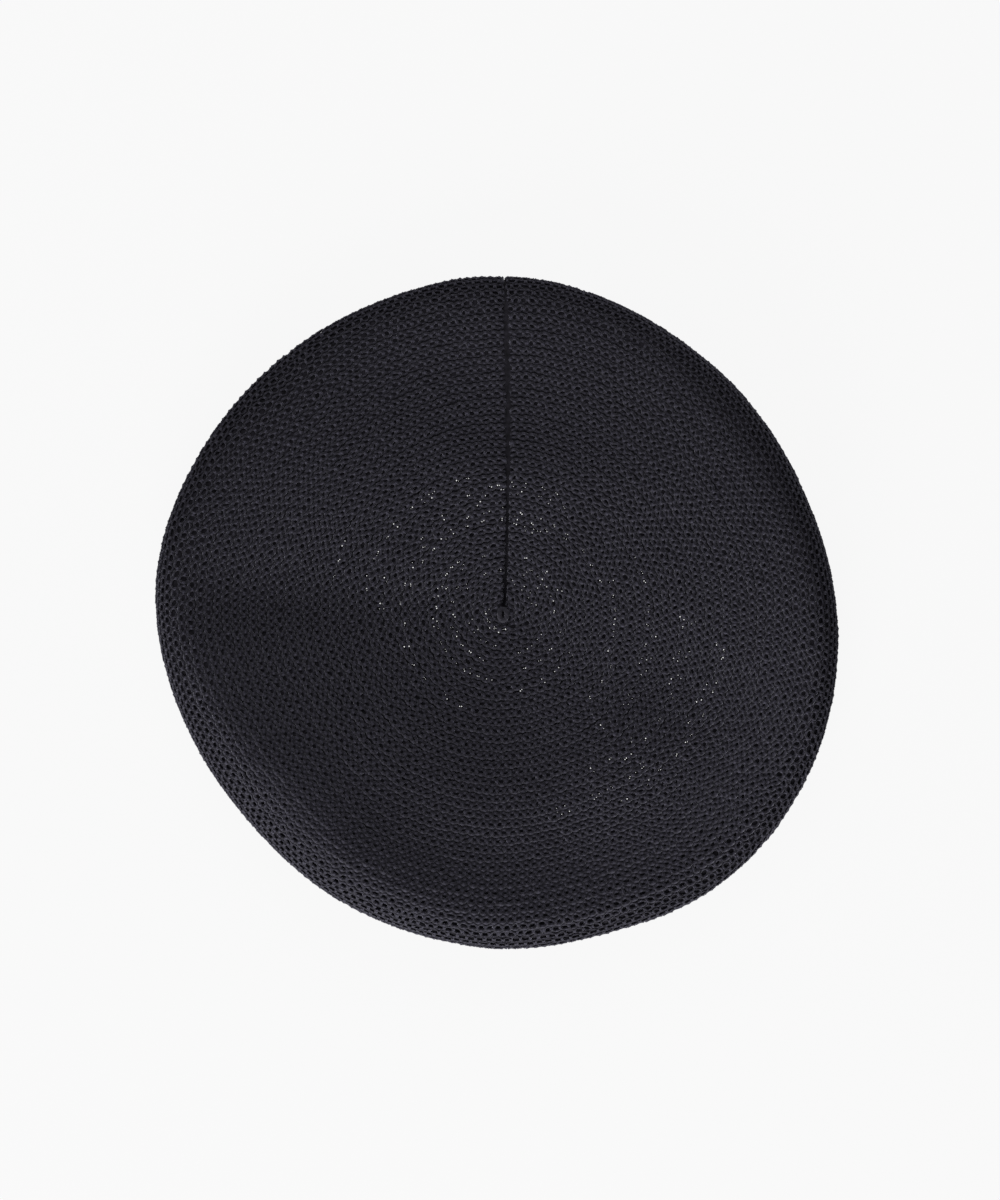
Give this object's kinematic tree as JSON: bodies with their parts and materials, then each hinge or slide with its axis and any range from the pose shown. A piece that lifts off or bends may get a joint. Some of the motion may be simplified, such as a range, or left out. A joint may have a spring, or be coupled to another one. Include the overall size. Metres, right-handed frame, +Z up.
{
  "type": "knitted tam beret",
  "caption": "Limp black openwork-knit tam beret with a rolled rim, a back seam and an inner headband, lying crown up as it rests by itself.",
  "frame": {"origin": "the table under the middle of the hat's bounding box", "axes": "+Z up through the crown, +Y towards the back of the hat, where the seam runs, +X to the right as seen from above with the back away"},
  "size_m": [0.283, 0.279, 0.0382],
  "materials": {
    "crown_knit": "matte black cord-like yarn in an open honeycomb knit",
    "band_knit": "matte black yarn in a close doubled rib"
  },
  "bodies": {
    "root": {"crown": "crown_knit", "headband": "band_knit"}
  },
  "joints": []
}
